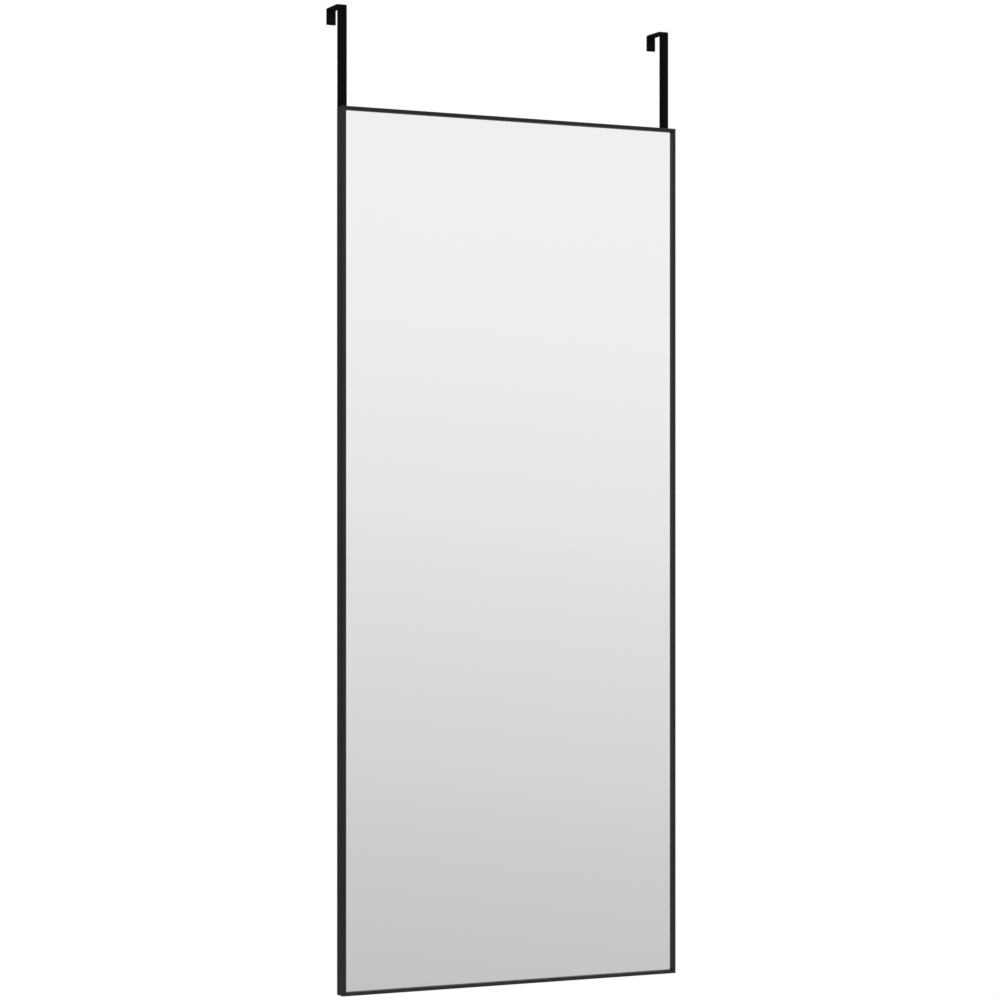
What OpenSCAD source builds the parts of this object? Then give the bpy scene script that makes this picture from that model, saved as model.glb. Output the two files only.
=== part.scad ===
// Over the door mirror: a tall framed mirror that hangs on a door's top edge by two bent steel straps.
// Millimetres. X to the right as seen from the front, Y to the back, Z up.
// The origin is where the door's top meets its front face, midway between the hooks.

/* [Frame size] */
// Outer width of the frame, across the two stiles
frame_w = 513; // [300:1:700]
// Outer height of the frame, without the hooks
frame_h = 1200; // [800:10:1800]

/* [Frame section] */
// How far the glass lies behind the frame's front face
lip_t = 4.5; // [3:0.5:8]
// Width of the front lip seen from the front
lip_w = 5; // [4.5:0.5:12]
// Thickness of the outer wall, of the hollow lip's walls and of the inner web
wall_t = 1.3; // [1.0:0.1:2.0]
// Thickness of the floor between the glass rebate and the rear channel
floor_t = 1.2; // [1.0:0.1:2.5]
// Inner width of the rear channel
channel_w = 13; // [9:0.5:16]
// Inner depth of the rear channel
channel_d = 4; // [3.2:0.1:5]
// Thickness of the two lips that half close the rear channel
rear_lip_t = 1.5; // [1.0:0.1:2.5]
// Width of the slot between the two rear lips
slot_w = 7; // [5:0.5:8]
// Radius of the outer front edge
front_edge_r = 1.5; // [0.3:0.1:2.0]
// Radius of the small edges
small_edge_r = 0.4; // [0.2:0.1:0.6]
// Gap at each mitre joint
mitre_gap = 0.1; // [0.05:0.05:0.3]

/* [Mirror panel] */
// Thickness of the mirror glass
glass_t = 3; // [3:1:4]
// Thickness of the safety film on the back of the glass
film_t = 0.2; // [0.1:0.05:0.3]
// Thickness of the bonding tapes between film and board
tape_t = 0.6; // [0.4:0.1:1.2]
// Width of a bonding tape
tape_w = 24; // [10:1:50]
// Number of bonding tapes side by side
tape_count = 4; // [2:1:6]
// Distance from the end of a tape to the end of the board
tape_end = 30; // [10:1:80]
// Thickness of the backing board
board_t = 4; // [2.5:0.5:5]
// Clearance between the panel's edge and the frame's outer wall
panel_gap = 0.5; // [0.3:0.1:1.5]
// Distance from the edge of the glass to the edge of the film
film_inset = 3; // [1:0.5:10]
// Depth left for the springs between the board and the channel floor
spring_gap = 1.5; // [1.0:0.1:2.5]

/* [Panel springs] */
// Thickness of the spring steel
spring_t = 0.3; // [0.2:0.05:0.5]
// Width of a spring
spring_w = 7; // [5:0.5:9]
// Length of a spring along the frame
spring_len = 60; // [40:1:90]
// Clearance at the top of the bow and at its two ends
spring_play = 0.03; // [0.01:0.01:0.1]
// Number of springs in each stile
springs_stile = 3; // [2:1:6]
// Number of springs in each rail
springs_rail = 2; // [1:1:3]

/* [Corner keys] */
// Thickness of a corner key
key_t = 3; // [2:0.1:3.1]
// Length of each leg of a corner key
key_leg = 34; // [25:1:60]
// Clearance between a key and each side wall of the channel
key_side_gap = 0.2; // [0.1:0.05:0.5]
// Distance of the set screws from the frame's outer corner
set_screw_at = 25; // [18:1:50]

/* [Screws] */
// Radius of the M4 threads
thread_r = 2; // [1.5:0.25:2.5]
// Radial clearance drawn in a tapped hole
thread_gap = 0.05; // [0.02:0.01:0.2]
// Length of a set screw
set_screw_len = 5; // [3.5:0.5:5.5]
// Width across flats of the set screw's socket
set_socket_af = 2; // [1.5:0.5:2.5]
// Overall length of a hook screw
hook_screw_len = 6; // [5:0.5:8]
// Radius of a hook screw's countersunk head
head_r = 3.6; // [3:0.1:4.2]
// How far the head lies below the strap's rear face
head_recess = 0.1; // [0.05:0.05:0.3]
// Width across flats of the hook screw's socket
hook_socket_af = 2.5; // [2:0.5:3]
// Radial clearance between a hook screw and its hole in the strap
screw_hole_gap = 0.2; // [0.1:0.05:0.5]

/* [Hooks] */
// Width of the strap that the hooks are bent from
strap_w = 13.5; // [10:0.5:14]
// Thickness of the strap
strap_t = 2; // [2:0.1:3]
// Height of the hook's top above the frame
hook_rise = 140.5; // [60:0.5:200]
// Height of the drop that goes down behind the door
drop_h = 22.5; // [15:0.5:60]
// Thickness of the door that the hooks are made for
door_t = 35; // [35:1:45]
// Play between the padded hook and the door
door_play = 0.5; // [0.2:0.1:3]
// Inner radius of the two bends
bend_r = 1; // [0.5:0.25:4]
// Length of the strap that lies on the back of the stile
strap_lap = 112; // [90:1:200]
// Radius of the strap's corners at both ends
strap_end_r = 1; // [0.5:0.5:5]
// Distance from the frame's top to the upper hook screw
hook_screw_first = 54; // [45:1:80]
// Distance between the two screws of a hook
hook_screw_pitch = 44; // [30:1:60]

/* [Nut plates] */
// Thickness of a nut plate
nut_t = 3; // [2:0.1:3.1]
// Distance from a nut plate's ends to its screw holes
nut_end = 11; // [6:1:15]

/* [Pads] */
// Thickness of the foam pads in the hooks
pad_t = 1; // [0.5:0.1:2]
// Distance from the pad's edge to the strap's edge
pad_inset = 0.5; // [0.2:0.1:2]
// Radius of the two bumpers on the frame's back
bumper_r = 6; // [4:0.5:6.5]
// Height of the bumpers' centres above the frame's bottom edge
bumper_at = 62; // [45:1:150]
// Radius of the bumper's rear edge
bumper_edge_r = 0.6; // [0.2:0.1:1]

/* [Hidden] */
$fn = 64;
cut = 1;                                   // overshoot of a cutting shape
// depths counted from the front face of the frame
glass_d = lip_t;
film_d = glass_d + glass_t;
tape_d = film_d + film_t;
board_d = tape_d + tape_t;
spring_d = board_d + board_t;
floor_d = spring_d + spring_gap;
channel_front = floor_d + floor_t;
channel_back = channel_front + channel_d;
frame_d = channel_back + rear_lip_t;       // the frame's depth
door_d = frame_d + strap_t;                // the door's front face
// widths counted from the frame's outer edge
profile_w = channel_w + 2 * wall_t;
slot_c = profile_w / 2;                    // centre line of the channel
panel_edge = wall_t + panel_gap;
// the hook
hook_gap = door_t + pad_t + door_play;     // steel to steel
hook_depth = hook_gap + 2 * strap_t;
hook_top = frame_h + hook_rise;
hook_under = hook_top - strap_t;
seat_z = hook_under - pad_t;
strap_foot = frame_h - strap_lap;
strap_x = frame_w / 2 - slot_c;            // centre line of the right strap
end_zone = 2 * strap_end_r;                // length of the strap's rounded end
// the door's front face is at y = 0 and its top at z = 0
front_y = -door_d;
base_z = -seat_z;                          // the frame's bottom edge
// the panel
panel_w = frame_w - 2 * panel_edge;
panel_h = frame_h - 2 * panel_edge;
tape_len = panel_h - 2 * tape_end;
tape_pitch = (panel_w - 2 * tape_w) / (tape_count - 1);
// the springs
bow_h = spring_gap - spring_t - 2 * spring_play;
bow_r = (spring_len * spring_len / 4 + bow_h * bow_h) / (2 * bow_h);
bow_a = 2 * asin(spring_len / 2 / bow_r);
spring_u = slot_c - spring_w / 2;
// the corner keys and nut plates lie against the rear lips
key_w = channel_w - 2 * key_side_gap;
key_u = wall_t + key_side_gap;
key_d = channel_back - key_t;
nut_d = channel_back - nut_t;
nut_len = hook_screw_pitch + 2 * nut_end;
nut_foot = frame_h - hook_screw_first - hook_screw_pitch - nut_end;
tapped_r = thread_r + thread_gap;
hole_r = thread_r + screw_hole_gap;
head_h = head_r - thread_r;
frame_black = [0.17, 0.17, 0.18];
strap_black = [0.06, 0.06, 0.065];
zinc = [0.72, 0.73, 0.75];

// What a square corner has to lose to get radius r; the corner points to -x, -y
module corner_waste(r) {
    difference() {
        translate([-cut, -cut]) square([r + cut, r + cut]);
        translate([r, r]) circle(r);
    }
}

// The extruded section: x across from the outer edge, y back from the front face
module section() {
    difference() {
        square([profile_w, frame_d]);
        // the rebate for glass, board and springs
        translate([wall_t, lip_t]) square([profile_w, floor_d - lip_t]);
        // the hollow of the lip, whose inner wall is what the glass lies against
        translate([wall_t, wall_t]) square([lip_w - 2 * wall_t, lip_t]);
        // the open front beside the lip
        translate([lip_w, -cut]) square([profile_w, cut + lip_t + cut]);
        // the rear channel and its slot
        translate([wall_t, channel_front]) square([channel_w, channel_d]);
        translate([slot_c - slot_w / 2, channel_front]) square([slot_w, frame_d]);
        // the rounded edges
        corner_waste(front_edge_r);
        translate([lip_w, 0]) mirror([1, 0]) corner_waste(small_edge_r);
        translate([0, frame_d]) mirror([0, 1]) corner_waste(small_edge_r);
        translate([profile_w, frame_d]) rotate(180) corner_waste(small_edge_r);
    }
}

// One frame member of outer length len, standing on its mitred end
module member(len) {
    intersection() {
        linear_extrude(len) section();
        translate([0, frame_d + cut, 0]) rotate([90, 0, 0]) linear_extrude(frame_d + 2 * cut)
            polygon([[0, mitre_gap / 2], [profile_w, profile_w + mitre_gap / 2],
                [profile_w, len - profile_w - mitre_gap / 2], [0, len - mitre_gap / 2]]);
    }
}

// Heights are counted from the frame's bottom edge inside this
module lifted() translate([0, 0, base_z]) children();

module left_member() translate([-frame_w / 2, front_y, 0]) member(frame_h);
module top_member() translate([-frame_w / 2, front_y, 0]) rotate([0, 90, 0]) member(frame_w);

module stile_left() lifted() color(frame_black) left_member();
module stile_right() lifted() color(frame_black) mirror([1, 0, 0]) left_member();
module rail_top() lifted() color(frame_black) translate([0, 0, frame_h]) top_member();
module rail_bottom() lifted() color(frame_black) mirror([0, 0, 1]) top_member();

// A flat sheet with its edge e inside the frame's edge, starting d behind the frame's front
module sheet(e, d, t) {
    translate([e - frame_w / 2, front_y + d, e]) cube([frame_w - 2 * e, t, frame_h - 2 * e]);
}

module mirror_glass() lifted() color([0.85, 0.88, 0.88]) sheet(panel_edge, glass_d, glass_t);
module safety_film() lifted() color([0.75, 0.78, 0.8]) sheet(panel_edge + film_inset, film_d, film_t);
module backing_board() lifted() color([0.45, 0.32, 0.2]) sheet(panel_edge, board_d, board_t);

module bonding_tapes() lifted() {
    color([0.93, 0.93, 0.9]) for (i = [0 : tape_count - 1])
        translate([tape_w / 2 - panel_w / 2 + i * tape_pitch, front_y + tape_d, panel_edge + tape_end])
            cube([tape_w, tape_t, tape_len]);
}

// A bowed strip along z: its ends near the board at y = 0, its bow towards the channel floor
module bow() {
    translate([spring_w / 2, bow_h - bow_r + spring_play, 0]) rotate([0, 90, 0])
        translate([0, 0, -spring_w / 2]) rotate([0, 0, 90 - bow_a / 2])
            rotate_extrude(angle = bow_a, $fn = 720) translate([bow_r, 0]) square([spring_t, spring_w]);
}

// The springs of a member of outer length len, in the member's own place
module member_springs(len, count) {
    for (i = [0 : count - 1])
        translate([spring_u, spring_d, len * (i + 0.5) / count]) bow();
}

module panel_springs() lifted() {
    color(zinc) {
        translate([-frame_w / 2, front_y, 0]) member_springs(frame_h, springs_stile);
        mirror([1, 0, 0]) translate([-frame_w / 2, front_y, 0]) member_springs(frame_h, springs_stile);
        translate([-frame_w / 2, front_y, frame_h]) rotate([0, 90, 0])
            member_springs(frame_w, springs_rail);
        mirror([0, 0, 1]) translate([-frame_w / 2, front_y, 0]) rotate([0, 90, 0])
            member_springs(frame_w, springs_rail);
    }
}

// A cylinder along +y that starts at y = 0
module rod(r, len) rotate([-90, 0, 0]) cylinder(r = r, h = len);

// A hexagon hole along +y, across flats af
module hex_hole(af, len) rotate([-90, 0, 0]) cylinder(r = af / 2 / cos(30), h = len, $fn = 6);

// The corner key of the lower left corner
module corner_key() {
    color(zinc) translate([-frame_w / 2, front_y + key_d, 0]) difference() {
        translate([0, key_t, 0]) rotate([90, 0, 0]) linear_extrude(key_t) polygon([
            [key_u, key_u], [key_u + key_leg, key_u], [key_u + key_leg, key_u + key_w],
            [key_u + key_w, key_u + key_w], [key_u + key_w, key_u + key_leg],
            [key_u, key_u + key_leg]]);
        translate([slot_c, -cut, set_screw_at]) rod(tapped_r, key_t + 2 * cut);
        translate([set_screw_at, -cut, slot_c]) rod(tapped_r, key_t + 2 * cut);
    }
}

module to_top() translate([0, 0, frame_h]) mirror([0, 0, 1]) children();

module corner_key_bottom_left() lifted() corner_key();
module corner_key_bottom_right() lifted() mirror([1, 0, 0]) corner_key();
module corner_key_top_left() lifted() to_top() corner_key();
module corner_key_top_right() lifted() to_top() mirror([1, 0, 0]) corner_key();

// A set screw along +y: its point on the channel floor at y = 0, its socket at the back
module set_screw() {
    difference() {
        union() {
            translate([0, small_edge_r, 0]) rod(thread_r, set_screw_len - 2 * small_edge_r);
            rotate([-90, 0, 0]) cylinder(r1 = thread_r - small_edge_r, r2 = thread_r, h = small_edge_r);
            translate([0, set_screw_len - small_edge_r, 0]) rotate([-90, 0, 0])
                cylinder(r1 = thread_r, r2 = thread_r - small_edge_r, h = small_edge_r);
        }
        translate([0, set_screw_len / 2, 0]) hex_hole(set_socket_af, set_screw_len);
    }
}

module corner_screw_pair() {
    translate([-frame_w / 2, front_y + channel_front, 0]) {
        translate([slot_c, 0, set_screw_at]) set_screw();
        translate([set_screw_at, 0, slot_c]) set_screw();
    }
}

module corner_set_screws() lifted() {
    color([0.2, 0.2, 0.21]) {
        corner_screw_pair();
        mirror([1, 0, 0]) corner_screw_pair();
        to_top() corner_screw_pair();
        to_top() mirror([1, 0, 0]) corner_screw_pair();
    }
}

// The bent strap seen from its side: x back from the strap's front face, y up
module strap_side() {
    difference() {
        translate([0, strap_foot]) square([hook_depth, hook_top - strap_foot]);
        difference() {
            translate([strap_t, strap_foot - cut]) square([hook_gap, hook_under - strap_foot + cut]);
            translate([strap_t, hook_under]) mirror([0, 1]) corner_waste(bend_r);
            translate([strap_t + hook_gap, hook_under]) rotate(180) corner_waste(bend_r);
        }
        translate([strap_t + hook_gap / 2, strap_foot - cut])
            square([hook_depth, hook_top - drop_h - strap_foot + cut]);
        translate([0, hook_top]) mirror([0, 1]) corner_waste(bend_r + strap_t);
        translate([hook_depth, hook_top]) rotate(180) corner_waste(bend_r + strap_t);
    }
}

// What the corners of an end of the strap lose; the end lies at z = 0 and points down
module end_waste() {
    for (s = [0, 1]) mirror([s, 0, 0])
        translate([-strap_w / 2, hook_depth / 2, 0]) rotate([90, 0, 0])
            linear_extrude(hook_depth, center = true) corner_waste(strap_end_r);
}

module hook_blank() {
    difference() {
        translate([-strap_w / 2, 0, 0]) rotate([90, 0, 90]) linear_extrude(strap_w) strap_side();
        intersection() {
            translate([0, 0, strap_foot]) end_waste();
            translate([-strap_w, -cut, strap_foot - cut])
                cube([2 * strap_w, strap_t + 2 * cut, end_zone + cut]);
        }
        intersection() {
            translate([0, 0, hook_top - drop_h]) end_waste();
            translate([-strap_w, hook_depth - strap_t - cut, hook_top - drop_h - cut])
                cube([2 * strap_w, strap_t + 3 * cut, end_zone + cut]);
        }
    }
}

module hook_hole(z) {
    translate([0, -cut, z]) rod(hole_r, strap_t + 2 * cut);
    translate([0, strap_t - head_h - head_recess, z]) rotate([-90, 0, 0])
        cylinder(r1 = hole_r, r2 = head_r + screw_hole_gap, h = head_h);
    translate([0, strap_t - head_recess, z]) rod(head_r + screw_hole_gap, cut);
}

module hook() {
    color(strap_black) difference() {
        hook_blank();
        hook_hole(frame_h - hook_screw_first);
        hook_hole(frame_h - hook_screw_first - hook_screw_pitch);
    }
}

module hook_left() lifted() translate([-strap_x, front_y + frame_d, 0]) hook();
module hook_right() lifted() translate([strap_x, front_y + frame_d, 0]) hook();

// The nut plate inside a stile's channel, below the corner key
module nut_plate() {
    color(zinc) difference() {
        translate([-key_w / 2, nut_d, nut_foot]) cube([key_w, nut_t, nut_len]);
        translate([0, nut_d - cut, nut_foot + nut_end]) rod(tapped_r, nut_t + 2 * cut);
        translate([0, nut_d - cut, nut_foot + nut_end + hook_screw_pitch])
            rod(tapped_r, nut_t + 2 * cut);
    }
}

module nut_plate_left() lifted() translate([-strap_x, front_y, 0]) nut_plate();
module nut_plate_right() lifted() translate([strap_x, front_y, 0]) nut_plate();

// A countersunk socket screw along y: its head's flat face at y = 0, its tip at -y
module hook_screw() {
    difference() {
        union() {
            rotate([90, 0, 0]) cylinder(r1 = head_r, r2 = thread_r, h = head_h);
            translate([0, small_edge_r - hook_screw_len, 0]) rod(thread_r, hook_screw_len - head_h);
            translate([0, -hook_screw_len, 0]) rotate([-90, 0, 0])
                cylinder(r1 = thread_r - small_edge_r, r2 = thread_r, h = small_edge_r);
        }
        translate([0, -head_h, 0]) hex_hole(hook_socket_af, head_h + cut);
    }
}

module hook_screw_pair() {
    color([0.16, 0.16, 0.17]) for (i = [0, 1])
        translate([0, front_y + door_d - head_recess, frame_h - hook_screw_first - i * hook_screw_pitch])
            hook_screw();
}

module hook_screws_left() lifted() translate([-strap_x, 0, 0]) hook_screw_pair();
module hook_screws_right() lifted() translate([strap_x, 0, 0]) hook_screw_pair();

// Foam under the bridge and on the door side of the drop
module hook_pad() {
    pad_w = strap_w - 2 * pad_inset;
    seat_len = hook_gap - 2 * (bend_r + pad_inset);
    drop_pad_foot = hook_top - drop_h + strap_end_r + pad_inset;
    color([0.09, 0.09, 0.09]) translate([-pad_w / 2, front_y + door_d, 0]) {
        translate([0, bend_r + pad_inset, seat_z]) cube([pad_w, seat_len, pad_t]);
        translate([0, hook_gap - pad_t, drop_pad_foot])
            cube([pad_w, pad_t, seat_z - pad_inset - drop_pad_foot]);
    }
}

module hook_pad_left() lifted() translate([-strap_x, 0, 0]) hook_pad();
module hook_pad_right() lifted() translate([strap_x, 0, 0]) hook_pad();

// A round bumper that is as thick as the strap, so that the mirror hangs parallel to the door
module bumper() {
    color([0.1, 0.1, 0.1]) translate([0, front_y + frame_d, bumper_at]) rotate([-90, 0, 0])
        rotate_extrude() difference() {
            square([bumper_r, strap_t]);
            translate([bumper_r, strap_t]) rotate(180) corner_waste(bumper_edge_r);
        }
}

module bumper_left() lifted() translate([-strap_x, 0, 0]) bumper();
module bumper_right() lifted() translate([strap_x, 0, 0]) bumper();

stile_left();
stile_right();
rail_top();
rail_bottom();
mirror_glass();
safety_film();
bonding_tapes();
backing_board();
panel_springs();
corner_key_top_left();
corner_key_top_right();
corner_key_bottom_left();
corner_key_bottom_right();
corner_set_screws();
hook_left();
hook_right();
nut_plate_left();
nut_plate_right();
hook_screws_left();
hook_screws_right();
hook_pad_left();
hook_pad_right();
bumper_left();
bumper_right();
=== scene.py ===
"""Over the door mirror: the dressed model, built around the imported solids. Metres, row frame.

The door's top meets its front face at the origin. X goes right as seen from the front, Y to the back, Z up.
"""
import math

import bmesh
import bpy
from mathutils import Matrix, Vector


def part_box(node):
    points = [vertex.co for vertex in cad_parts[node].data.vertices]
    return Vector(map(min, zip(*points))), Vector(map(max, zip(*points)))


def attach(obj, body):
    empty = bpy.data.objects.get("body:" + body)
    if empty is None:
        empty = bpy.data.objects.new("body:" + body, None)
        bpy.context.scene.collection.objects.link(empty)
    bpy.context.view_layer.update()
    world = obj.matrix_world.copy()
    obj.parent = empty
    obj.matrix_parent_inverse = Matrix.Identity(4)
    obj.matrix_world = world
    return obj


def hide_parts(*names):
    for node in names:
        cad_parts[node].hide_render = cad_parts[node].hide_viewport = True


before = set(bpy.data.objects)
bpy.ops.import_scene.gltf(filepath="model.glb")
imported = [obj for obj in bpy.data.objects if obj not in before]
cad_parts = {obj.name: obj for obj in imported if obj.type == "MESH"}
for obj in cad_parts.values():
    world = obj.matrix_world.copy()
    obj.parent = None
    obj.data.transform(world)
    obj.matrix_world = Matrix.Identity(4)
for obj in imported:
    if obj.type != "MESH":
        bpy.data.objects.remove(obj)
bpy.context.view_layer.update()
bpy.ops.object.select_all(action="DESELECT")

MM = 0.001
SIDES = {"left": -1, "right": 1}

# The straps, and the foam between them and the door
STRAP_W = 13.5 * MM
STRAP_T = 2 * MM
STRAP_LAP = 112 * MM
STRAP_END_R = 1 * MM
BEND_R = 1 * MM
PAD_T = 1 * MM
PAD_INSET = 0.5 * MM
DOOR_T = 35 * MM
DOOR_PLAY = 0.5 * MM
HOOK_GAP = DOOR_T + PAD_T + DOOR_PLAY
HOOK_TOP = STRAP_T + PAD_T
HOOK_RISE = 140.5 * MM
DROP_H = 22.5 * MM
DROP_FOOT = HOOK_TOP - DROP_H

# The frame, and its section: inwards from the outer side, and back from the front face
FRAME_W = 513 * MM
FRAME_H = 1200 * MM
WALL = 1.3 * MM
LIP_W = 5 * MM
LIP_T = 4.5 * MM
REBATE_BACK = 13.8 * MM
REBATE_FLOOR_T = 1.2 * MM
CHANNEL_W = 13 * MM
CHANNEL_D = 4 * MM
REAR_LIP_T = 1.5 * MM
SLOT_W = 7 * MM
FRONT_EDGE_R = 1.5 * MM
MITRE_GAP = 0.1 * MM

CHANNEL_END = WALL + CHANNEL_W
SECTION_W = CHANNEL_END + WALL
SLOT_MIDDLE = SECTION_W / 2
SLOT_FROM = SLOT_MIDDLE - SLOT_W / 2
SLOT_TO = SLOT_MIDDLE + SLOT_W / 2
CHANNEL_FRONT = REBATE_BACK + REBATE_FLOOR_T
CHANNEL_BACK = CHANNEL_FRONT + CHANNEL_D
SECTION_D = CHANNEL_BACK + REAR_LIP_T

FRAME_TOP = HOOK_TOP - HOOK_RISE
FRAME_FOOT = FRAME_TOP - FRAME_H
FRAME_MID_Z = (FRAME_TOP + FRAME_FOOT) / 2
FRAME_BACK = -STRAP_T
FRAME_FRONT = FRAME_BACK - SECTION_D
STRAP_X = FRAME_W / 2 - SLOT_MIDDLE
STRAP_FOOT = FRAME_TOP - STRAP_LAP

# The screws and their holes. THREAD_TURNS are the ridges on a screw, and the other turns, in degrees, are
# those at which each screw came to rest
THREAD_R = 2 * MM
THREAD_GAP = 0.05 * MM
THREAD_DEPTH = 0.28 * MM
THREAD_TURNS = 8
SCREW_CHAMFER = 0.4 * MM
HOLE_PLAY = 0.2 * MM
HEAD_R = 3.6 * MM
HEAD_H = HEAD_R - THREAD_R
HEAD_RECESS = 0.1 * MM
HOOK_SCREW_LEN = 6 * MM
HOOK_SOCKET_W = 2.5 * MM
HOOK_SCREW_FIRST = 54 * MM
HOOK_SCREW_PITCH = 44 * MM
HOOK_SCREW_TURNS = (0, 22)
HOOK_SCREW_HEIGHTS = (FRAME_TOP - HOOK_SCREW_FIRST, FRAME_TOP - HOOK_SCREW_FIRST - HOOK_SCREW_PITCH)
SET_SCREW_LEN = 5 * MM
SET_SOCKET_W = 2 * MM
SET_SCREW_AT = 25 * MM
SET_SCREW_TURN = 15
SET_SCREW_NEXT_TURN = 31

# How far the edges of each kind of piece are rounded
FRAME_EDGE_R = 0.2 * MM
STRAP_EDGE_R = 0.3 * MM
PLATE_EDGE_R = 0.25 * MM
SCREW_EDGE_R = 0.1 * MM
PAD_EDGE_R = 0.35 * MM
GLASS_ARRIS = 0.5 * MM
BOARD_ARRIS = 0.4 * MM

# Steps of a quarter round, how far a cutter goes past the face that it cuts, and how near points are one
ROUND_STEPS = 10
OVERSHOOT = 1 * MM
SAME_POINT = 0.002 * MM

# Angles in degrees: between faces that count as one flat face, and from which an edge is rounded
FLAT_WITHIN = 0.5
SHARP_FROM = 35

# A turn about x, in degrees, that lays a piece made along z with its top to the back
TO_THE_BACK = -90


# ---------------------------------------------------------------- shaping by hand

def alone(piece):
    """Makes this piece the only one selected."""
    bpy.ops.object.select_all(action="DESELECT")
    piece.select_set(True)
    bpy.context.view_layer.objects.active = piece


def begin(add, name, **sizes):
    """Adds a primitive under a name and opens it for editing, all of it selected."""
    bpy.ops.object.select_all(action="DESELECT")
    add(**sizes)
    piece = bpy.context.object
    piece.name = piece.data.name = name
    bpy.ops.object.mode_set(mode="EDIT")
    bpy.ops.mesh.select_all(action="SELECT")
    return piece


def reopen(piece):
    """Opens a piece again."""
    alone(piece)
    bpy.ops.object.mode_set(mode="EDIT")


def done():
    """Closes the open piece."""
    bpy.ops.object.mode_set(mode="OBJECT")


def rectangle(name, x_range, y_range, z=0):
    """Opens a flat rectangle, from which a bar or a plate is drawn."""
    (x0, x1), (y0, y1) = x_range, y_range
    face = begin(bpy.ops.mesh.primitive_plane_add, name, size=1)
    bpy.ops.transform.resize(value=(x1 - x0, y1 - y0, 1))
    bpy.ops.transform.translate(value=((x0 + x1) / 2, (y0 + y1) / 2, z))
    return face


def block(name, low, high):
    """Opens a block between two corners."""
    made = begin(bpy.ops.mesh.primitive_cube_add, name, size=1)
    bpy.ops.transform.resize(value=[b - a for a, b in zip(low, high)])
    bpy.ops.transform.translate(value=[(a + b) / 2 for a, b in zip(low, high)])
    return made


def draw_out(x=0, y=0, z=0):
    """Extrudes what is selected and moves its new end."""
    bpy.ops.mesh.extrude_region_move(TRANSFORM_OT_translate={"value": (x, y, z)})


def middle(part):
    """The middle of an edge or a face."""
    if isinstance(part, bmesh.types.BMFace):
        return part.calc_center_median()
    return (part.verts[0].co + part.verts[1].co) / 2


def near(value, other):
    """Are two places the same, to a hundredth of a millimetre?"""
    return abs(value - other) < 0.01 * MM


def pick(piece, kind, wanted):
    """Selects the EDGE or FACE parts of the open piece that are wanted."""
    bpy.ops.mesh.select_all(action="DESELECT")
    bpy.ops.mesh.select_mode(type=kind)
    mesh = bmesh.from_edit_mesh(piece.data)
    for part in {"EDGE": mesh.edges, "FACE": mesh.faces}[kind]:
        if wanted(part):
            part.select_set(True)
    bmesh.update_edit_mesh(piece.data)


def cut_out(piece, is_waste):
    """Removes the open piece's faces that are waste, and selects all that is left."""
    pick(piece, "FACE", is_waste)
    bpy.ops.mesh.delete(type="FACE")
    bpy.ops.mesh.select_all(action="SELECT")


def split_at(axis, distance):
    """Cuts a line through everything in the open piece, at a distance along an axis."""
    bpy.ops.mesh.select_all(action="SELECT")
    normal = [0, 0, 0]
    normal[axis] = 1
    bpy.ops.mesh.bisect(plane_co=[distance * n for n in normal], plane_no=normal)


def merge_doubles():
    """Makes one point of those of the open piece that lie in the same place."""
    bpy.ops.mesh.select_all(action="SELECT")
    bpy.ops.mesh.remove_doubles(threshold=SAME_POINT)


def face_outwards():
    """Turns all faces of the open piece outwards."""
    bpy.ops.mesh.select_all(action="SELECT")
    bpy.ops.mesh.normals_make_consistent(inside=False)


def clean_flats():
    """Merges doubles, drops needless edges on flat faces and turns all faces outwards."""
    merge_doubles()
    bpy.ops.mesh.dissolve_limited(angle_limit=math.radians(FLAT_WITHIN))
    face_outwards()


def turned(name, profile, vertices=48):
    """A solid round z. Its profile has a height and a radius for each step, from one end to the other."""
    height, radius = profile[0]
    solid = begin(bpy.ops.mesh.primitive_circle_add, name, vertices=vertices, radius=radius, fill_type="NGON")
    bpy.ops.transform.translate(value=(0, 0, height))
    for next_height, next_radius in profile[1:]:
        draw_out(z=next_height - height)
        growth = next_radius / radius
        bpy.ops.transform.resize(value=(growth, growth, 1))
        height, radius = next_height, next_radius
    face_outwards()
    done()
    return solid


def drill(piece, cutter):
    """Takes the cutter's shape out of the piece."""
    alone(piece)
    hole = piece.modifiers.new("hole", "BOOLEAN")
    hole.operation = "DIFFERENCE"
    hole.solver = "EXACT"
    hole.object = cutter
    bpy.ops.object.modifier_apply(modifier=hole.name)
    bpy.data.objects.remove(cutter)


def smooth(piece, up_to=40):
    """Shades the piece smooth, apart from its edges that turn by more than this many degrees."""
    alone(piece)
    bpy.ops.object.shade_smooth_by_angle(angle=math.radians(up_to))


def ease_edges(piece, radius, segments=2):
    """Rounds the piece's sharp edges a little and shades its curves smooth."""
    alone(piece)
    edge = piece.modifiers.new("eased edge", "BEVEL")
    edge.width = radius
    edge.segments = segments
    edge.limit_method = "ANGLE"
    edge.angle_limit = math.radians(SHARP_FROM)
    bpy.ops.object.modifier_apply(modifier=edge.name)
    smooth(piece)


def place(piece, at=(0, 0, 0), turn=(0, 0, 0)):
    """Turns a piece about the origin and then moves it, in its mesh."""
    alone(piece)
    piece.location = at
    piece.rotation_euler = [math.radians(a) for a in turn]
    bpy.ops.object.transform_apply(location=True, rotation=True, scale=True)
    return piece


def another(piece, name, at=(0, 0, 0), turn=(0, 0, 0)):
    """A copy with a mesh of its own, moved to its place."""
    twin = piece.copy()
    twin.data = piece.data.copy()
    twin.name = twin.data.name = name
    bpy.context.scene.collection.objects.link(twin)
    return place(twin, at, turn)


def joined(pieces, name):
    """Makes one piece of several."""
    alone(pieces[0])
    for piece in pieces[1:]:
        piece.select_set(True)
    bpy.ops.object.join()
    pieces[0].name = pieces[0].data.name = name
    return pieces[0]


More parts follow.
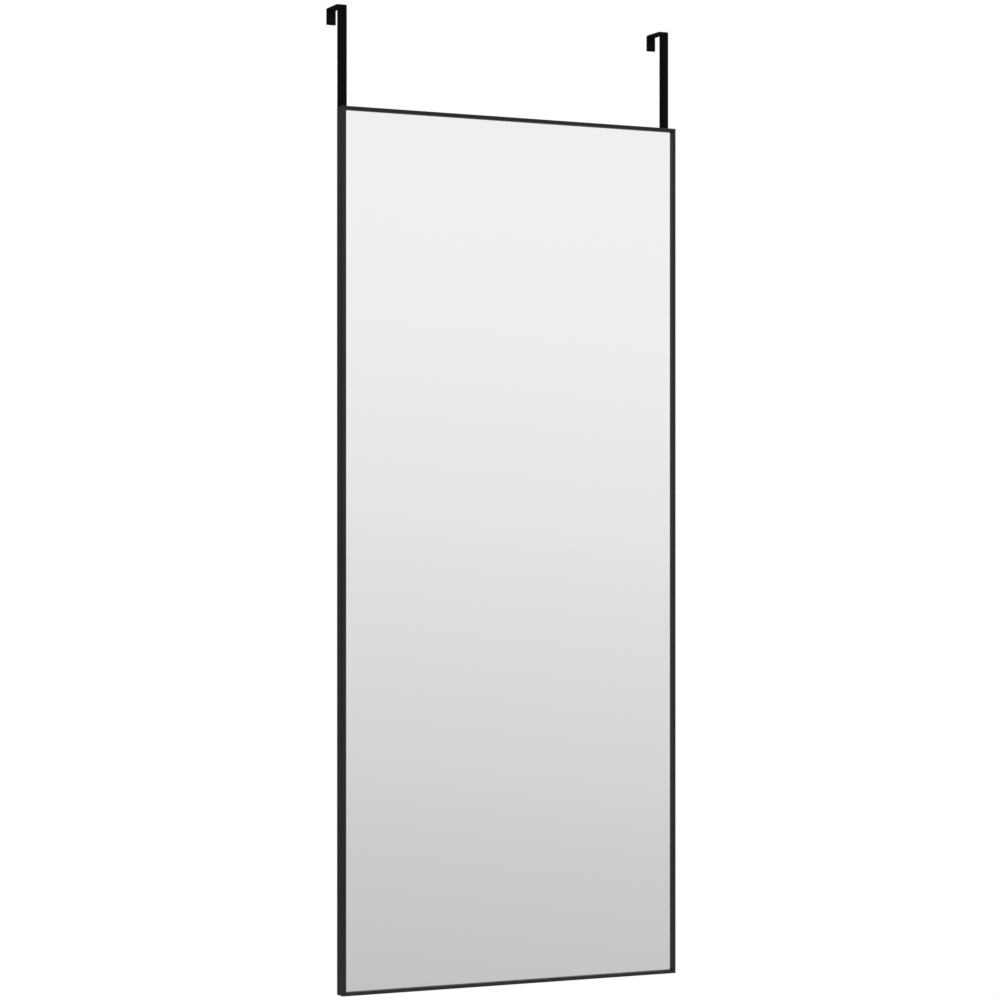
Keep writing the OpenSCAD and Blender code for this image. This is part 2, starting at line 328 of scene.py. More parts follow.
def finished(piece, material, node):
    """Gives a piece its finish, its body and the solid that it stands for."""
    piece.data.materials.clear()
    piece.data.materials.append(material)
    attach(piece, "root")
    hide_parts(node)


# ---------------------------------------------------------------- finishes

class Finish:
    """A material and its nodes, on Object coordinates in metres."""

    def __init__(self, name):
        self.material = bpy.data.materials.new(name)
        self.material.use_nodes = True
        self.tree = self.material.node_tree
        self.shader = self.tree.nodes["Principled BSDF"]
        self.object_place = self.node("ShaderNodeTexCoord").outputs["Object"]

    def node(self, kind, **inputs):
        """Adds a node with these inputs."""
        made = self.tree.nodes.new(kind)
        self.fill(made, inputs)
        return made

    def fill(self, made, inputs):
        """Sets or links a node's inputs, each by its name, with _ for a space, or by _ and its number."""
        for key, value in inputs.items():
            socket = made.inputs[int(key[1:]) if key[1:].isdigit() else key.replace("_", " ")]
            if isinstance(value, bpy.types.NodeSocket):
                self.tree.links.new(value, socket)
            else:
                socket.default_value = value

    def shade(self, **inputs):
        """Sets or links the inputs of the surface itself."""
        self.fill(self.shader, inputs)

    def stretched(self, scale, turn=(0, 0, 0)):
        """Object coordinates with a scale of their own along each axis, and a turn in degrees."""
        mapping = self.node("ShaderNodeMapping", Vector=self.object_place, Scale=scale)
        mapping.inputs["Rotation"].default_value = [math.radians(a) for a in turn]
        return mapping.outputs["Vector"]

    def noise(self, scale, detail=3, rough=0.5, where=None):
        """Cloudy noise, with about as many clouds to a metre as its scale says."""
        made = self.node("ShaderNodeTexNoise", Vector=where or self.object_place, Scale=scale, Detail=detail,
                         Roughness=rough)
        return made.outputs["Fac"]

    def cells(self, scale):
        """How far each point lies from the nearest of many scattered ones."""
        return self.node("ShaderNodeTexVoronoi", Vector=self.object_place, Scale=scale).outputs["Distance"]

    def spread(self, value, low, high, to_low, to_high):
        """Spreads a value from one range over another."""
        made = self.node("ShaderNodeMapRange", Value=value)
        for name, amount in (("From Min", low), ("From Max", high), ("To Min", to_low), ("To Max", to_high)):
            made.inputs[name].default_value = amount
        return made.outputs["Result"]

    def plus(self, one, other, share=1.0):
        """One value plus a share of another."""
        made = self.node("ShaderNodeMath", _0=other, _1=share, _2=one)
        made.operation = "MULTIPLY_ADD"
        return made.outputs[0]

    def blend(self, share, one, other):
        """A colour between two colours, each of them a socket or its red, green and blue.

        The node holds its two colours in inputs 6 and 7, and the blended one in output 2.
        """
        made = self.node("ShaderNodeMix")
        made.data_type = "RGBA"
        one, other = [c if isinstance(c, bpy.types.NodeSocket) else (*c, 1) for c in (one, other)]
        self.fill(made, {"_0": share, "_6": one, "_7": other})
        return made.outputs[2]

    def relief(self, height, depth, strength=1.0):
        """A surface relief; depth is the height in metres of a value of one."""
        made = self.node("ShaderNodeBump", Height=height, Strength=strength, Distance=depth)
        self.shade(Normal=made.outputs["Normal"])
        return self


def frame_coating(name, along):
    """Dark grey coat on extruded aluminium; the faint die lines run along the member's own axis."""
    coat = Finish(name)
    lines = [900, 900, 900]
    lines[along] = 3
    drawn = coat.noise(1.0, 2, 0.6, coat.stretched(lines))
    cloudy = coat.noise(9, 3)
    grain = coat.noise(2600, 2)
    coat.shade(Base_Color=coat.blend(cloudy, (0.0165, 0.0165, 0.0168), (0.0205, 0.0205, 0.0208)))
    coat.shade(Roughness=coat.spread(coat.plus(cloudy, drawn, 0.6), 0.4, 1.2, 0.4, 0.52))
    coat.shade(Metallic=0.0, Specular_IOR_Level=0.2)
    return coat.relief(coat.plus(grain, drawn, 1.6), 0.012 * MM).material


def strap_coating():
    """Black powder coat, nearly matt, with its fine orange peel."""
    coat = Finish("strap black powder coat")
    peel = coat.noise(1100, 2, 0.45)
    speck = coat.noise(5200, 2)
    cloudy = coat.noise(24, 3)
    coat.shade(Base_Color=coat.blend(cloudy, (0.0016, 0.0016, 0.0017), (0.0030, 0.0030, 0.0031)))
    coat.shade(Roughness=coat.spread(coat.plus(cloudy, speck, 0.5), 0.4, 1.1, 0.48, 0.6))
    coat.shade(Metallic=0.0, Specular_IOR_Level=0.05)
    return coat.relief(coat.plus(peel, speck, 0.3), 0.03 * MM).material


def silvering():
    """The reflecting face: flat float glass with the slight draw lines that all of it has."""
    face = Finish("silvered float glass")
    draw = face.noise(1.0, 2, 0.4, face.stretched((3.0, 3.0, 0.6)))
    haze = face.noise(5, 4)
    face.shade(Base_Color=face.blend(haze, (0.925, 0.931, 0.928), (0.930, 0.936, 0.933)))
    face.shade(Roughness=face.spread(haze, 0.3, 0.7, 0.0, 0.004), Metallic=1.0)
    return face.relief(draw, 0.0012 * MM, 0.5).material


def cut_glass_edge():
    """The sheet's ground edge, under the lip."""
    edge = Finish("ground glass edge")
    grind = edge.noise(900, 3)
    edge.shade(Base_Color=edge.blend(grind, (0.16, 0.33, 0.27), (0.27, 0.45, 0.38)))
    edge.shade(Roughness=edge.spread(grind, 0.3, 0.7, 0.3, 0.5), Metallic=0.0)
    return edge.relief(grind, 0.02 * MM).material


def mirror_paint():
    """The grey paint that guards the silver."""
    paint = Finish("mirror back paint")
    curtain = paint.noise(1.0, 3, 0.5, paint.stretched((40, 40, 4)))
    paint.shade(Base_Color=paint.blend(curtain, (0.13, 0.135, 0.14), (0.17, 0.175, 0.18)))
    paint.shade(Roughness=paint.spread(curtain, 0.3, 0.7, 0.4, 0.55))
    return paint.relief(paint.noise(700, 2), 0.02 * MM).material


def fibre_board():
    """Pressed fibre board: short pale and dark fibres, with the press screen's weave in its surface."""
    board = Finish("pressed fibre board")
    fibres = board.noise(1.0, 4, 0.65, board.stretched((340, 340, 900), (0, 24, 0)))
    other = board.noise(1.0, 4, 0.65, board.stretched((900, 340, 340), (0, -17, 0)))
    pale = board.spread(board.plus(fibres, other), 0.7, 1.3, 0.0, 1.0)
    warm = board.blend(pale, (0.085, 0.047, 0.024), (0.205, 0.125, 0.068))
    blotches = board.spread(board.noise(7, 4, 0.6), 0.35, 0.65, 0.0, 0.45)
    board.shade(Base_Color=board.blend(blotches, warm, (0.115, 0.066, 0.035)))
    weave = []
    for turn in (45, -45):
        wires = board.node("ShaderNodeTexWave", Vector=board.stretched((1, 1, 1), (0, turn, 0)), Scale=85.0,
                           Distortion=0.6, Detail=1.0)
        wires.bands_direction = "X"
        weave.append(wires.outputs["Fac"])
    board.shade(Roughness=board.spread(fibres, 0.3, 0.7, 0.62, 0.82))
    pressed = board.plus(board.plus(*weave), fibres, 0.8)
    return board.relief(pressed, 0.11 * MM).material


def zinc_plate():
    """Bright zinc over stamped steel, with its cloudy, faintly blue passivation."""
    plate = Finish("zinc plated steel")
    cloud = plate.noise(48, 2, 0.45)
    rolled = plate.noise(1.0, 2, 0.5, plate.stretched((2600, 2600, 260)))
    plate.shade(Base_Color=plate.blend(cloud, (0.56, 0.575, 0.6), (0.64, 0.64, 0.63)))
    plate.shade(Roughness=plate.spread(plate.plus(cloud, rolled, 0.5), 0.4, 1.1, 0.26, 0.46), Metallic=1.0)
    return plate.relief(rolled, 0.008 * MM).material


def blackened_steel():
    """The oiled black finish of socket screws, worn brighter in places."""
    black = Finish("blackened steel")
    wear = black.noise(900, 3, 0.6)
    worn = black.spread(wear, 0.55, 0.75, 0.0, 0.5)
    black.shade(Base_Color=black.blend(worn, (0.028, 0.028, 0.031), (0.15, 0.15, 0.155)))
    black.shade(Roughness=black.spread(wear, 0.3, 0.7, 0.3, 0.5), Metallic=0.85)
    return black.relief(black.noise(3400, 2), 0.006 * MM).material


def spring_steel():
    """Bright steel strip, with the lines of its rolling."""
    strip = Finish("bright spring steel")
    rolled = strip.noise(1.0, 3, 0.5, strip.stretched((2200, 2200, 90)))
    strip.shade(Base_Color=strip.blend(rolled, (0.42, 0.43, 0.45), (0.58, 0.58, 0.59)))
    strip.shade(Roughness=strip.spread(rolled, 0.3, 0.7, 0.2, 0.38), Metallic=1.0)
    return strip.relief(rolled, 0.004 * MM).material


def cell_foam():
    """Closed cell foam: small open pores on a dull black skin, each pore's colour darkened as painted shade
    in its hollow.
    """
    foam = Finish("black cell foam")
    pores = foam.cells(2100)
    # Painted shade: the colour darkens towards each pore's middle, where the relief sinks it, as shade inside
    # the pore
    painted_pore_shade = foam.spread(pores, 0.05, 0.4, 0.0, 1.0)
    foam.shade(Base_Color=foam.blend(painted_pore_shade, (0.0015, 0.0015, 0.0015), (0.0065, 0.0065, 0.0068)))
    lumps = foam.noise(420, 3)
    foam.shade(Roughness=foam.spread(lumps, 0.3, 0.7, 0.85, 0.98), Specular_IOR_Level=0.06)
    return foam.relief(foam.plus(pores, lumps, 0.5), 0.16 * MM).material


def moulded_rubber():
    """Matt black rubber with a faint grey bloom."""
    rubber = Finish("moulded rubber")
    bloom = rubber.noise(160, 3)
    rubber.shade(Base_Color=rubber.blend(bloom, (0.012, 0.012, 0.0122), (0.022, 0.022, 0.0222)))
    rubber.shade(Roughness=rubber.spread(bloom, 0.3, 0.7, 0.55, 0.72), Specular_IOR_Level=0.35)
    return rubber.relief(rubber.noise(3000, 3), 0.02 * MM).material


def safety_foil():
    """The film that holds the glass together if it breaks."""
    foil = Finish("woven safety foil")
    threads = foil.cells(420)
    foil.shade(Base_Color=foil.blend(threads, (0.42, 0.45, 0.47), (0.62, 0.64, 0.65)))
    foil.shade(Roughness=foil.spread(threads, 0.1, 0.8, 0.35, 0.6))
    return foil.relief(threads, 0.03 * MM).material


def tissue_tape():
    """White double sided tape."""
    tape = Finish("double sided tissue tape")
    tissue = tape.noise(600, 4, 0.7)
    tape.shade(Base_Color=tape.blend(tissue, (0.72, 0.71, 0.66), (0.85, 0.84, 0.8)))
    tape.shade(Roughness=tape.spread(tissue, 0.3, 0.7, 0.5, 0.7))
    return tape.relief(tissue, 0.05 * MM).material


UPRIGHT_COAT = frame_coating("frame coat on the stiles", 2)
LEVEL_COAT = frame_coating("frame coat on the rails", 0)
STRAP_COAT = strap_coating()
ZINC = zinc_plate()
BLACK_STEEL = blackened_steel()
FOAM = cell_foam()
RUBBER = moulded_rubber()


# ---------------------------------------------------------------- the frame

def section_is_empty(face):
    """Is this cell of the divided section air?"""
    across, back = middle(face)[:2]
    rebate = across > WALL and LIP_T < back < REBATE_BACK
    open_front = across > LIP_W and back < LIP_T
    hollow_lip = WALL < across < LIP_W - WALL and WALL < back < LIP_T
    channel = WALL < across < CHANNEL_END and CHANNEL_FRONT < back < CHANNEL_BACK
    slot = SLOT_FROM < across < SLOT_TO and back > CHANNEL_BACK
    return rebate or open_front or hollow_lip or channel or slot


def frame_member(name, length, reach, turn, coat, node):
    """An extruded bar with mitred ends. reach is from the frame's middle to the bar's outer face."""
    bar = rectangle(name, (0, SECTION_W), (0, SECTION_D), -length / 2)
    for across in (WALL, LIP_W - WALL, SLOT_FROM, LIP_W, SLOT_TO, CHANNEL_END):
        split_at(0, across)
    for back in (WALL, LIP_T, REBATE_BACK, CHANNEL_FRONT, CHANNEL_BACK):
        split_at(1, back)
    cut_out(bar, section_is_empty)
    draw_out(z=length)
    clean_flats()
    for up in (-1, 1):
        bpy.ops.mesh.select_all(action="SELECT")
        bpy.ops.mesh.bisect(plane_co=(0, 0, up * (length - MITRE_GAP) / 2), plane_no=(up, 0, 1),
                            use_fill=True, clear_outer=up > 0, clear_inner=up < 0)
    clean_flats()
    pick(bar, "EDGE", lambda edge: near(middle(edge).x, 0) and near(middle(edge).y, 0))
    bpy.ops.mesh.bevel(offset=FRONT_EDGE_R, segments=ROUND_STEPS, affect="EDGES")
    done()
    ease_edges(bar, FRAME_EDGE_R)
    place(bar, (-reach, FRAME_FRONT, 0))
    place(bar, (0, 0, FRAME_MID_Z), (0, turn, 0))
    finished(bar, coat, node)


frame_member("left_stile", FRAME_H, FRAME_W / 2, 0, UPRIGHT_COAT, "stile_left")
frame_member("right_stile", FRAME_H, FRAME_W / 2, 180, UPRIGHT_COAT, "stile_right")
frame_member("top_rail", FRAME_W, FRAME_H / 2, 90, LEVEL_COAT, "rail_top")
frame_member("bottom_rail", FRAME_W, FRAME_H / 2, -90, LEVEL_COAT, "rail_bottom")


# ---------------------------------------------------------------- the panel

def flat_sheet(name, arris, material, node):
    """A sheet as large as the solid, with its edges eased."""
    sheet = block(name, *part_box(node))
    bpy.ops.mesh.bevel(offset=arris, segments=2, affect="EDGES")
    done()
    smooth(sheet, 20)
    finished(sheet, material, node)
    return sheet


def mirror_sheet():
    """The glass: silvered at its front, painted at its back, ground along its edges."""
    sheet = flat_sheet("mirror_sheet", GLASS_ARRIS, cut_glass_edge(), "mirror_glass")
    low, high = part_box("mirror_glass")
    sheet.data.materials.append(silvering())
    sheet.data.materials.append(mirror_paint())
    reopen(sheet)
    for index, depth in ((1, low.y), (2, high.y)):
        pick(sheet, "FACE", lambda face: near(middle(face).y, depth))
        sheet.active_material_index = index
        bpy.ops.object.material_slot_assign()
    done()


mirror_sheet()
flat_sheet("backing_sheet", BOARD_ARRIS, fibre_board(), "backing_board")


# ---------------------------------------------------------------- the straps and what is in them

def bend_back(y, z):
    """Bends the drawn end by a quarter turn about a line across the strap."""
    bpy.ops.mesh.spin(steps=ROUND_STEPS, angle=math.radians(90), center=(0, y, z), axis=(1, 0, 0))


def is_end_corner(edge):
    """Is this one of the short edges at the corners of the strap's two ends?"""
    spot = middle(edge)
    return near(abs(spot.x), STRAP_W / 2) and (near(spot.z, STRAP_FOOT) or near(spot.z, DROP_FOOT))


def bent_strap(side_name, side):
    """The flat bar is drawn up the back of the stile, bent back over the door and down behind it."""
    strap = rectangle(f"{side_name}_strap", (-STRAP_W / 2, STRAP_W / 2), (-STRAP_T, 0), STRAP_FOOT)
    bend_z = HOOK_TOP - STRAP_T - BEND_R
    last_bend = HOOK_GAP - BEND_R
    draw_out(z=bend_z - STRAP_FOOT)
    bend_back(BEND_R, bend_z)
    draw_out(y=last_bend - BEND_R)
    bend_back(last_bend, bend_z)
    draw_out(z=DROP_FOOT - bend_z)
    merge_doubles()
    face_outwards()
    pick(strap, "EDGE", is_end_corner)
    bpy.ops.mesh.bevel(offset=STRAP_END_R, segments=5, affect="EDGES")
    done()
    ease_edges(strap, STRAP_EDGE_R, 3)
    for height in HOOK_SCREW_HEIGHTS:
        drill(strap, countersink(height))
    smooth(strap)
    place(strap, (side * STRAP_X, 0, 0))
    finished(strap, STRAP_COAT, f"hook_{side_name}")


def countersink(height):
    """The shape of a screw hole: a cylinder through the strap, opening to a cone at its back."""
    hole_r = THREAD_R + HOLE_PLAY
    cone_r = HEAD_R + HOLE_PLAY
    hole = turned("countersink", ((-STRAP_T - OVERSHOOT, hole_r), (-HEAD_RECESS - HEAD_H, hole_r),
                                  (-HEAD_RECESS, cone_r), (OVERSHOOT, cone_r)))
    return place(hole, (0, 0, height), (TO_THE_BACK, 0, 0))


def thread(top, foot):
    """The ridges of a fine thread between two heights, as steps of a profile."""
    step = (foot - top) / (2 * THREAD_TURNS)
    return [(top + i * step, THREAD_R - (THREAD_DEPTH if i % 2 else 0)) for i in range(1, 2 * THREAD_TURNS)]


def socket_screw(name, profile, across_flats, socket_depth):
    """A turned screw with its top at z = 0, where a hexagon socket is cut into it."""
    screw = turned(name, profile)
    socket = begin(bpy.ops.mesh.primitive_cylinder_add, "key socket", vertices=6,
                   radius=across_flats / math.sqrt(3), depth=socket_depth + OVERSHOOT)
    bpy.ops.transform.translate(value=(0, 0, (OVERSHOOT - socket_depth) / 2))
    done()
    drill(screw, socket)
    ease_edges(screw, SCREW_EDGE_R)
    return screw


def hook_screw():
    """A countersunk screw with a chamfered end."""
    chamfer_top = SCREW_CHAMFER - HOOK_SCREW_LEN
    profile = [(0, HEAD_R), (-HEAD_H, THREAD_R), *thread(-HEAD_H, chamfer_top),
               (chamfer_top, THREAD_R), (-HOOK_SCREW_LEN, THREAD_R - SCREW_CHAMFER)]
    return socket_screw("hook_screw", profile, HOOK_SOCKET_W, HEAD_H)


def set_screw():
    """A headless screw, chamfered at both ends."""
    chamfer_top = SCREW_CHAMFER - SET_SCREW_LEN
    profile = [(0, THREAD_R - SCREW_CHAMFER), (-SCREW_CHAMFER, THREAD_R),
               *thread(-SCREW_CHAMFER, chamfer_top),
               (chamfer_top, THREAD_R), (-SET_SCREW_LEN, THREAD_R - SCREW_CHAMFER)]
    return socket_screw("set_screw", profile, SET_SOCKET_W, SET_SCREW_LEN / 2)


def strap_screws(side_name, side, screw):
    """Copies of the screw in one strap's holes."""
    for n, (height, turn) in enumerate(zip(HOOK_SCREW_HEIGHTS, HOOK_SCREW_TURNS)):
        at = (side * STRAP_X, -HEAD_RECESS, height)
        fitted = another(screw, f"{side_name}_strap_screw_{n + 1}", at, (TO_THE_BACK, turn, 0))
        finished(fitted, BLACK_STEEL, f"hook_screws_{side_name}")


def foam_pad(name, low, high, node):
    """A stuck-on strip of foam with soft edges."""
    pad = block(name, low, high)
    bpy.ops.mesh.bevel(offset=PAD_EDGE_R, segments=3, affect="EDGES")
    bpy.ops.mesh.select_all(action="SELECT")
    bpy.ops.mesh.subdivide(number_cuts=2)
    done()
    smooth(pad, 50)
    finished(pad, FOAM, node)


def hook_pads(side_name, side):
    """Foam under the bridge, which rests on the door, and foam on the drop, behind the door."""
    x_low = side * STRAP_X - STRAP_W / 2 + PAD_INSET
    x_high = side * STRAP_X + STRAP_W / 2 - PAD_INSET
    bend_end = BEND_R + PAD_INSET
    node = f"hook_pad_{side_name}"
    foam_pad(f"{side_name}_seat_pad", (x_low, bend_end, 0), (x_high, HOOK_GAP - bend_end, PAD_T), node)
    foam_pad(f"{side_name}_drop_pad", (x_low, HOOK_GAP - PAD_T, DROP_FOOT + STRAP_END_R + PAD_INSET),
             (x_high, HOOK_GAP, -PAD_INSET), node)


master = hook_screw()
for side_name, side in SIDES.items():
    bent_strap(side_name, side)
    strap_screws(side_name, side, master)
bpy.data.objects.remove(master)
for side_name, side in SIDES.items():
    hook_pads(side_name, side)


# ---------------------------------------------------------------- what lies in the rear channel

KEY_PLAY = 0.2 * MM
KEY_FROM = WALL + KEY_PLAY
KEY_W = CHANNEL_W - 2 * KEY_PLAY
KEY_LEG = 34 * MM
KEY_HOLES = ((SLOT_MIDDLE, SET_SCREW_AT), (SET_SCREW_AT, SLOT_MIDDLE))
PLATE_T = 3 * MM
PLATE_FRONT = FRAME_FRONT + CHANNEL_BACK - PLATE_T
NUT_PLATE_END = 11 * MM


def stamped_plate(name, x_range, z_range, holes, notch_from=None):
    """A plate from y = 0 back, with tapped holes at x, z. What is past notch_from both ways is cut off."""
    plate = rectangle(name, x_range, z_range)
    if notch_from is not None:
        split_at(0, notch_from)
        split_at(1, notch_from)
        cut_out(plate, lambda face: min(middle(face)[:2]) > notch_from)
    draw_out(z=-PLATE_T)
    clean_flats()
    done()
    for x, z in holes:
        cutter = begin(bpy.ops.mesh.primitive_cylinder_add, "tapped hole", vertices=32,
                       radius=THREAD_R + THREAD_GAP, depth=3 * PLATE_T, location=(x, z, 0))
        done()
        drill(plate, cutter)
    ease_edges(plate, PLATE_EDGE_R)
    return place(plate, turn=(90, 0, 0))


def corner_keys():
    """Four stamped angles in the mitred corners, with their set screws."""
    key_range = (KEY_FROM, KEY_FROM + KEY_LEG)
    key = stamped_plate("corner_key", key_range, key_range, KEY_HOLES, KEY_FROM + KEY_W)
    place(key, (-FRAME_W / 2, PLATE_FRONT, -FRAME_H / 2))
    screw = set_screw()
    screw_back = FRAME_FRONT + CHANNEL_FRONT + SET_SCREW_LEN
    screws = []
    for level, up in (("bottom", 1), ("top", -1)):
        for side_name, side in SIDES.items():
            fitted = another(key, f"{level}_{side_name}_corner_key")
            fitted.scale = (-side, 1, up)
            bpy.ops.object.transform_apply(location=False, rotation=False, scale=True)
            reopen(fitted)
            face_outwards()
            done()
            place(fitted, (0, 0, FRAME_MID_Z))
            finished(fitted, ZINC, f"corner_key_{level}_{side_name}")
            for in_x, in_z in KEY_HOLES:
                at = (side * (FRAME_W / 2 - in_x), screw_back, FRAME_MID_Z - up * (FRAME_H / 2 - in_z))
                own_turn = SET_SCREW_TURN + SET_SCREW_NEXT_TURN * len(screws)
                screws.append(another(screw, "set_screw_copy", at, (TO_THE_BACK, own_turn, 0)))
    bpy.data.objects.remove(key)
    bpy.data.objects.remove(screw)
    finished(joined(screws, "corner_key_screws"), BLACK_STEEL, "corner_set_screws")


def nut_plate(side_name, side):
    """The plate in the channel that takes a strap's two screws."""
    first, second = HOOK_SCREW_HEIGHTS
    plate = stamped_plate(f"{side_name}_nut_plate", (-KEY_W / 2, KEY_W / 2),
                          (second - NUT_PLATE_END, first + NUT_PLATE_END), ((0, first), (0, second)))
    place(plate, (side * STRAP_X, PLATE_FRONT, 0))
    finished(plate, ZINC, f"nut_plate_{side_name}")


corner_keys()
for side_name, side in SIDES.items():
    nut_plate(side_name, side)


# ---------------------------------------------------------------- bumpers

BUMPER_R = 6 * MM
BUMPER_T = 2 * MM
BUMPER_RIM_R = 0.6 * MM
BUMPER_AT = 62 * MM
GROOVE_DEPTH = 0.12 * MM
GROOVE_FROM = BUMPER_R - 1.3 * MM
GROOVE_TO = BUMPER_R - 1.9 * MM
DOME_R = BUMPER_R - 2.4 * MM
DOME_TOP_R = 2 * MM
DOME_FALL = 0.02 * MM


def bumper(side_name, side):
    """A moulded rubber button: a rounded rim, a shallow groove inside it and a slightly domed middle."""
    rim_z = BUMPER_T - BUMPER_RIM_R
    rim_r = BUMPER_R - BUMPER_RIM_R
    profile = [(0, BUMPER_R), (rim_z, BUMPER_R)]
    for degrees in range(15, 91, 15):
        a = math.radians(degrees)
        profile.append((rim_z + BUMPER_RIM_R * math.sin(a), rim_r + BUMPER_RIM_R * math.cos(a)))
    profile += [(BUMPER_T - GROOVE_DEPTH, GROOVE_FROM), (BUMPER_T - GROOVE_DEPTH, GROOVE_TO),
                (BUMPER_T - DOME_FALL, DOME_R), (BUMPER_T, DOME_TOP_R)]
    button = turned(f"{side_name}_bumper_button", profile, vertices=64)
    smooth(button, 50)
    place(button, (side * STRAP_X, FRAME_BACK, FRAME_FOOT + BUMPER_AT), (TO_THE_BACK, 0, 0))
    finished(button, RUBBER, f"bumper_{side_name}")


for side_name, side in SIDES.items():
    bumper(side_name, side)


# ---------------------------------------------------------------- solids that stay, in their own finish

for node, material in (("safety_film", safety_foil()), ("bonding_tapes", tissue_tape()),
                       ("panel_springs", spring_steel())):
    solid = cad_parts[node]
    solid.data.materials.clear()
    solid.data.materials.append(material)


# ---------------------------------------------------------------- floor, light and camera

# The floor lies at the foot of the door, and fades out between two distances from its middle
FLOOR_Z = -2.035
FLOOR_R = 2.0
FLOOR_FADES_FROM = 0.9
FLOOR_GONE_AT = 1.95

# The studio walls. WALL_GREYS are what the mirror shows, from low to high, and REAR_GREYS what its back
# faces, from floor to ceiling: stops from 0 to 1, each with its brightness. A span is the range of a
# direction's share along its axis over which the stops are spread, or the rear walls take over from the front
WALL_GREYS = ((0.0, 0.53), (0.145, 0.594), (0.3, 0.69), (0.5, 0.816), (0.62, 0.886), (0.75, 0.927),
              (1.0, 0.93))
REAR_GREYS = ((0.0, 0.5), (0.35, 0.12), (0.62, 0.12), (0.85, 0.75), (1.0, 0.9))
WALL_UP = (0.099, 0.048, 1.0)
WALL_SPAN = (-0.2, 0.2)
REAR_SPAN = (-1.0, 1.0)
REAR_ENTRY_SPAN = (-0.1, 0.35)

# The two lamps, which face the middle of the frame
LAMP_W = 2.0
LAMP_WATTS = 24
FRONT_LAMP_AT = (-2.6, -3.2, 1.6)
BACK_LAMP_AT = (2.4, 3.4, 1.4)

# The camera, which looks level; its turn is about the upright, in degrees, and its lens in millimetres
CAMERA_AT = (-1.82218, -3.73505, -0.73374)
CAMERA_TURN = -25.876
CAMERA_LENS = 107.6
CAMERA_SHIFT_UP = 0.04827


def floor():
    """A pale round of floor under the door's foot, which fades out towards its rim."""
    ground = begin(bpy.ops.mesh.primitive_circle_add, "floor", vertices=96, radius=FLOOR_R, fill_type="NGON")
    bpy.ops.transform.translate(value=(0, 0, FLOOR_Z))
    done()
    pale = Finish("pale floor")
    speckle = pale.noise(35, 3)
    pale.shade(Base_Color=pale.blend(speckle, (0.86, 0.86, 0.855), (0.88, 0.88, 0.875)), Roughness=0.7)
    reach = pale.node("ShaderNodeVectorMath", _0=pale.object_place, _1=(1, 1, 0))
    reach.operation = "MULTIPLY"
    span = pale.node("ShaderNodeVectorMath", _0=reach.outputs["Vector"])
    span.operation = "LENGTH"
    rim = pale.spread(span.outputs["Value"], FLOOR_FADES_FROM, FLOOR_GONE_AT, 0.0, 1.0)
    under = pale.node("ShaderNodeNewGeometry").outputs["Backfacing"]
    gone = pale.node("ShaderNodeMath", _0=rim, _1=under)
    gone.operation = "MAXIMUM"
    clear = pale.node("ShaderNodeBsdfTransparent").outputs["BSDF"]
    mixed = pale.node("ShaderNodeMixShader", Fac=gone.outputs[0], _1=pale.shader.outputs["BSDF"], _2=clear)
    out = pale.tree.nodes["Material Output"]
    pale.tree.links.new(mixed.outputs["Shader"], out.inputs["Surface"])
    ground.data.materials.append(pale.material)


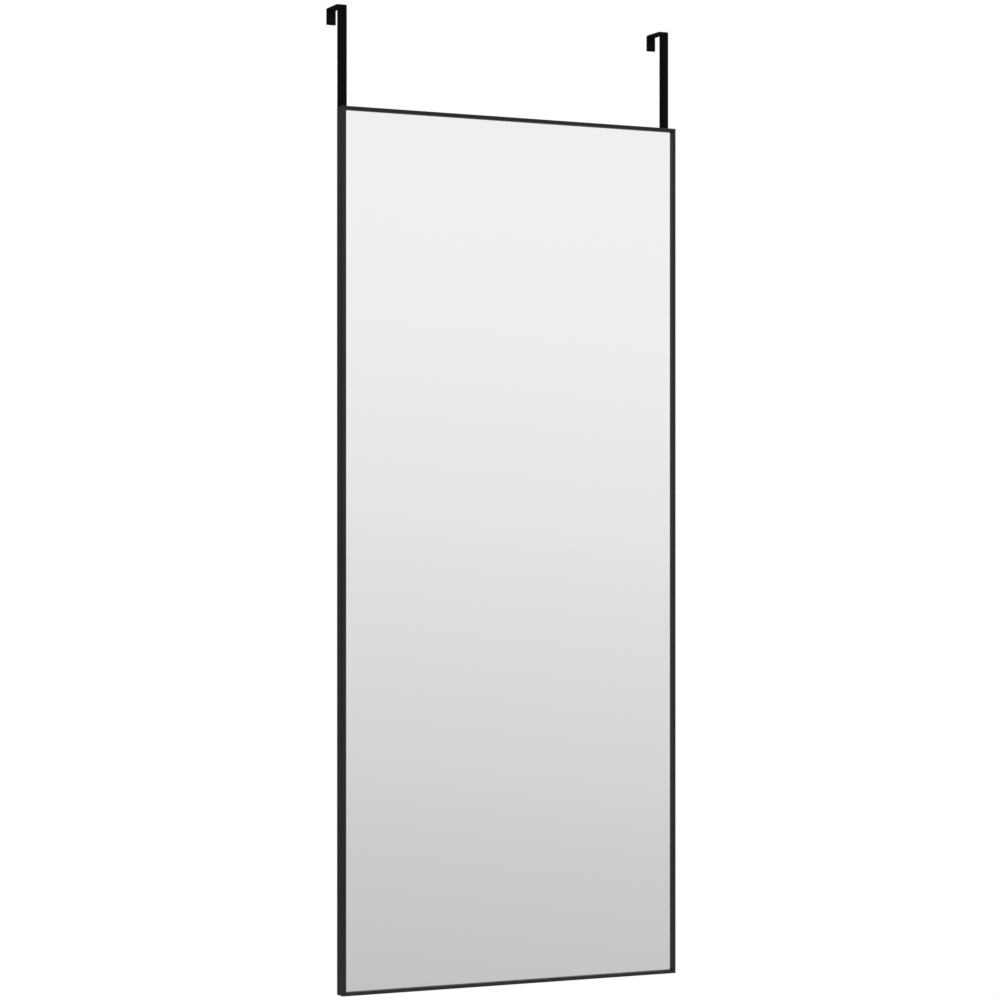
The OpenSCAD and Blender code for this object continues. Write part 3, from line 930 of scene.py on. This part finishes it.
def studio_world():
    """Studio walls that darken towards the floor, unlit behind the object, and a white backdrop."""
    world = bpy.data.worlds.new("studio")
    bpy.context.scene.world = world
    world.use_nodes = True
    tree = world.node_tree
    tree.nodes.clear()
    new, link = tree.nodes.new, tree.links.new
    direction = new("ShaderNodeTexCoord").outputs["Generated"]

    def along(axis):
        """How far the direction goes along an axis."""
        made = new("ShaderNodeVectorMath")
        made.operation = "DOT_PRODUCT"
        link(direction, made.inputs[0])
        made.inputs[1].default_value = axis
        return made.outputs["Value"]

    def spread(value, low, high, kind="LINEAR"):
        """A value from low to high, spread over 0 to 1."""
        made = new("ShaderNodeMapRange")
        made.interpolation_type = kind
        made.inputs["From Min"].default_value = low
        made.inputs["From Max"].default_value = high
        link(value, made.inputs["Value"])
        return made.outputs["Result"]

    def ramp(value, stops, kind):
        """A run of greys, each at its own stop."""
        made = new("ShaderNodeValToRGB")
        link(value, made.inputs["Fac"])
        made.color_ramp.interpolation = kind
        points = made.color_ramp.elements
        while len(points) < len(stops):
            points.new(0.5)
        for point, (at, grey) in zip(points, stops):
            point.position = at
            point.color = (grey, grey, grey, 1)
        return made.outputs["Color"]

    def lit(colour):
        """Walls of this colour, as light."""
        made = new("ShaderNodeBackground")
        link(colour, made.inputs["Color"])
        return made.outputs["Background"]

    def mixed(share, one, other):
        """One light, giving way to another as the share goes from 0 to 1."""
        made = new("ShaderNodeMixShader")
        for socket, wire in zip(made.inputs, (share, one, other)):
            link(wire, socket)
        return made.outputs["Shader"]

    front = ramp(spread(along(WALL_UP), *WALL_SPAN), WALL_GREYS, "CARDINAL")
    rear = ramp(spread(along((0, 0, 1)), *REAR_SPAN), REAR_GREYS, "LINEAR")
    to_rear = spread(along((0, 1, 0)), *REAR_ENTRY_SPAN, "SMOOTHSTEP")
    path = new("ShaderNodeLightPath").outputs
    seen_rear = new("ShaderNodeMath")
    seen_rear.operation = "MULTIPLY"
    link(to_rear, seen_rear.inputs[0])
    link(path["Is Glossy Ray"], seen_rear.inputs[1])
    backdrop = new("ShaderNodeBackground")
    backdrop.inputs["Color"].default_value = (1, 1, 1, 1)
    walls = mixed(seen_rear.outputs[0], lit(front), lit(rear))
    whole = mixed(path["Is Camera Ray"], walls, backdrop.outputs["Background"])
    link(whole, new("ShaderNodeOutputWorld").inputs["Surface"])


def soft_lamp(name, at):
    """A large square lamp that faces the frame's middle. Mirrors show the walls, not the lamp."""
    bpy.ops.object.light_add(type="AREA", location=at)
    lamp = bpy.context.object
    lamp.name = name
    lamp.data.size = LAMP_W
    lamp.data.energy = LAMP_WATTS
    x, y, z = [b - a for a, b in zip(at, (0, 0, FRAME_MID_Z))]
    lamp.rotation_euler = (math.atan2(math.hypot(x, y), -z), 0, math.atan2(-x, y))
    lamp.visible_glossy = False


floor()
studio_world()
soft_lamp("front lamp", FRONT_LAMP_AT)
soft_lamp("back lamp", BACK_LAMP_AT)

bpy.ops.object.camera_add(location=CAMERA_AT, rotation=(math.radians(90), 0, math.radians(CAMERA_TURN)))
camera = bpy.context.object
camera.name = "camera"
camera.data.sensor_width = 36
camera.data.lens = CAMERA_LENS
camera.data.shift_y = CAMERA_SHIFT_UP
camera.data.clip_start = 0.1
camera.data.clip_end = 50
bpy.context.scene.camera = camera

bpy.context.scene.view_settings.view_transform = "Standard"
